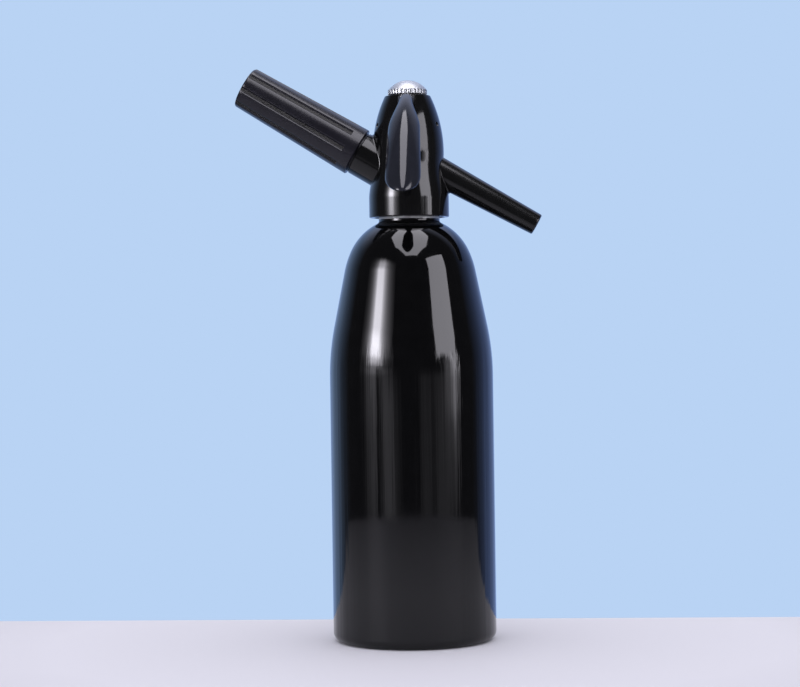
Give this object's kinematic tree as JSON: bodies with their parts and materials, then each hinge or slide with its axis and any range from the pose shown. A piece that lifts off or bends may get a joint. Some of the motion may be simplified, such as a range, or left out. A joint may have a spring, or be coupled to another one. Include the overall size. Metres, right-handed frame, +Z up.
{
  "type": "soda siphon",
  "caption": "Black pressure bottle with a screw-on lever head, a sloping spout and a fluted gas charger holder, for making and serving soda water.",
  "frame": {"origin": "centre of the bottle's flat base, on the bottle's axis", "axes": "+Z up along the bottle's axis, -Y to the front where the lever points, +X towards the spout, -X towards the charger holder"},
  "size_m": [0.1684, 0.107, 0.3161],
  "materials": {
    "black_enamel": "gloss black enamel on aluminium",
    "black_gloss": "gloss black moulding",
    "black_satin": "satin black moulding",
    "chrome": "polished chrome plate",
    "aluminium": "machined",
    "brass": "machined",
    "steel": "drawn",
    "black_rubber": "smooth",
    "red_rubber": "smooth",
    "white_plastic": "natural"
  },
  "bodies": {
    "bottle": {"bottle": "black_enamel"},
    "neck_seal": {"neck_gasket": "red_rubber"},
    "head": {"thread_ring": "aluminium", "head_shell": "black_gloss", "valve_body": "brass", "seat_nut": "brass", "seat_gasket": "black_rubber", "tube_bush": "black_rubber", "dip_tube": "white_plastic", "stem_o_ring": "black_rubber", "valve_spring": "steel", "hinge_pin": "steel", "spout": "black_gloss", "spout_o_ring": "black_rubber", "charger_socket": "aluminium", "socket_gasket": "black_rubber", "check_retainer": "brass", "check_valve": "black_rubber", "piercing_pin": "steel", "charger_seal": "black_rubber"},
    "lever": {"lever": "black_gloss"},
    "valve": {"valve_stem": "steel", "valve_washer": "black_rubber", "lift_nut": "steel"},
    "cap_seal": {"cap_o_ring": "black_rubber"},
    "cap": {"valve_cap": "chrome"},
    "charger": {"charger": "steel"},
    "holder": {"charger_holder": "black_satin"}
  },
  "joints": [
    {"name": "head_rise", "type": "slide", "parent": "bottle", "child": "neck_seal", "axis": [0, 0, 1], "range_m": [0, 0.00875]},
    {"name": "head_turn", "type": "hinge", "parent": "neck_seal", "child": "head", "pos_m": [0, 0, 0.249], "axis": [0, 0, 1], "range_deg": [0, 900]},
    {"name": "lever_press", "type": "hinge", "parent": "head", "child": "lever", "pos_m": [0, -0.0074, 0.2834], "axis": [1, 0, 0], "range_deg": [0, 14], "stiffness_Nm_per_rad": 3, "springref_deg": -11.46},
    {"name": "valve_lift", "type": "slide", "parent": "head", "child": "valve", "axis": [0, 0, 1], "range_m": [0, 0.0018], "deforming": ["valve_spring"]},
    {"name": "cap_rise", "type": "slide", "parent": "head", "child": "cap_seal", "axis": [0, 0, 1], "range_m": [0, 0.00625]},
    {"name": "cap_turn", "type": "hinge", "parent": "cap_seal", "child": "cap", "pos_m": [0, 0, 0.3], "axis": [0, 0, 1], "range_deg": [0, 1800]},
    {"name": "charger_rise", "type": "slide", "parent": "head", "child": "charger", "axis": [-0.8572, 0, 0.515], "range_m": [0, 0.01]},
    {"name": "holder_turn", "type": "hinge", "parent": "charger", "child": "holder", "pos_m": [0, 0, 0.2524], "axis": [-0.8572, 0, 0.515], "range_deg": [0, 1800]}
  ],
  "couplings": [
    {"joint": "head_turn", "follows": "head_rise", "rad_per_m": 1795.2},
    {"joint": "lever_press", "follows": "valve_lift", "rad_per_m": 135.1},
    {"joint": "cap_turn", "follows": "cap_rise", "rad_per_m": 5026.5},
    {"joint": "holder_turn", "follows": "charger_rise", "rad_per_m": 3141.6}
  ]
}
